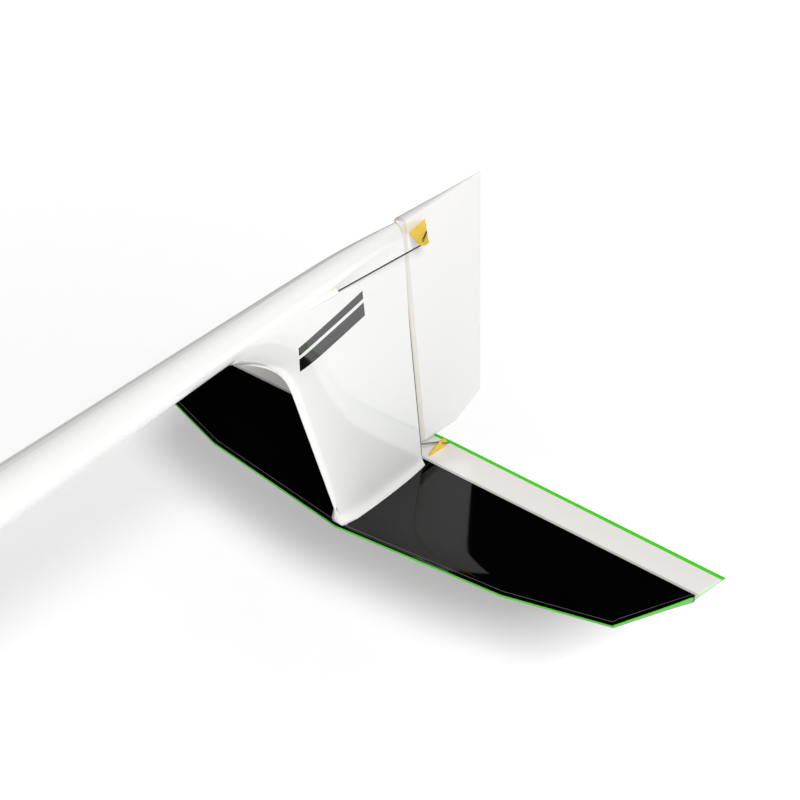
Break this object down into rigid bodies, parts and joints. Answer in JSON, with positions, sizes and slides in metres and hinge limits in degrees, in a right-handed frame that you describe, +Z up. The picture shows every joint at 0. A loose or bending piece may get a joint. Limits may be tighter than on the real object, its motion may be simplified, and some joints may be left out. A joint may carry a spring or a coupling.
{
  "type": "sailplane tail unit",
  "caption": "T-tail of a moulded model sailplane: tapering boom with integral fin, hinged rudder, stabiliser with hinged elevator, horns and pushrods.",
  "frame": {"origin": "centre of the boom socket at its mouth", "axes": "+X aft along the stabiliser chord, +Y to the right across the span, +Z up, square to the stabiliser, which lies lowest"},
  "size_m": [0.6589, 0.6, 0.2804],
  "materials": {
    "white_gelcoat": "high gloss white gelcoat over glass cloth",
    "rudder_white": "white gelcoat, slightly softer gloss",
    "elevator_white": "warm white gelcoat",
    "black_gelcoat": "high gloss black",
    "green_edge": "bright green gloss",
    "horn_laminate": "yellow woven glass laminate, semi gloss",
    "steel_wire": "drawn spring steel wire",
    "ivory_tube": "ivory guide tube",
    "carbon": "woven carbon, satin",
    "plywood": "birch plywood",
    "brass": "turned brass",
    "stainless": "machine screw finish"
  },
  "bodies": {
    "tail": {"tail_shell_left": "white_gelcoat", "tail_shell_right": "white_gelcoat", "boom_joint_sleeve": "carbon", "boom_end_plug": "plywood", "rudder_guide_sleeve": "ivory_tube", "elevator_guide_tube": "ivory_tube", "fin_foot_block": "plywood", "fin_screw_inserts": "brass", "fin_spar": "carbon", "fin_rear_web": "carbon", "rudder_hinge_lugs": "horn_laminate", "rudder_hinge_pins": "steel_wire", "stab_skin_upper": "black_gelcoat", "stab_skin_lower": "black_gelcoat", "stab_leading_edge": "green_edge", "stab_centre_block": "plywood", "stab_spars": "carbon", "stab_tip_ribs": "plywood", "stab_rear_web": "carbon", "stab_screws": "stainless", "elevator_hinge_lugs": "horn_laminate", "elevator_hinge_pins": "steel_wire"},
    "rudder": {"rudder_horn": "horn_laminate", "rudder_skin_left": "rudder_white", "rudder_skin_right": "rudder_white", "rudder_nose_spar": "rudder_white", "rudder_trailing_edge": "rudder_white", "rudder_top_rib": "plywood", "rudder_bottom_rib": "plywood", "rudder_hinge_bushes": "brass"},
    "elevator": {"elevator_horn": "horn_laminate", "elevator_skin_upper": "elevator_white", "elevator_skin_lower": "elevator_white", "elevator_nose_spar": "elevator_white", "elevator_trailing_edge": "green_edge", "elevator_tip_ribs": "plywood", "elevator_hinge_bushes": "brass"},
    "rudder_rod": {"rudder_pushrod": "steel_wire"},
    "elevator_rod": {"elevator_pushrod": "steel_wire"}
  },
  "joints": [
    {"name": "rudder_hinge", "type": "hinge", "parent": "tail", "child": "rudder", "pos_m": [0.55395, 0, -0.085], "axis": [-0.1357, 0, 0.9907], "range_deg": [-20, 20]},
    {"name": "elevator_hinge", "type": "hinge", "parent": "tail", "child": "elevator", "pos_m": [0.5745, 0, -0.235], "axis": [0, 1, 0], "range_deg": [-15, 15]},
    {"name": "rudder_rod_pivot", "type": "hinge", "parent": "rudder", "child": "rudder_rod", "pos_m": [0.53915, -0.0225, 0.023], "axis": [-0.1357, 0, 0.9907], "range_deg": [-21, 21]},
    {"name": "elevator_rod_pivot", "type": "hinge", "parent": "elevator", "child": "elevator_rod", "pos_m": [0.6, 0.00045, -0.2264], "axis": [0, 1, 0], "range_deg": [-8, 8]}
  ],
  "couplings": [
    {"joint": "rudder_rod_pivot", "follows": "rudder_hinge", "ratio": -1},
    {"joint": "elevator_rod_pivot", "follows": "elevator_hinge", "ratio": -0.493}
  ]
}
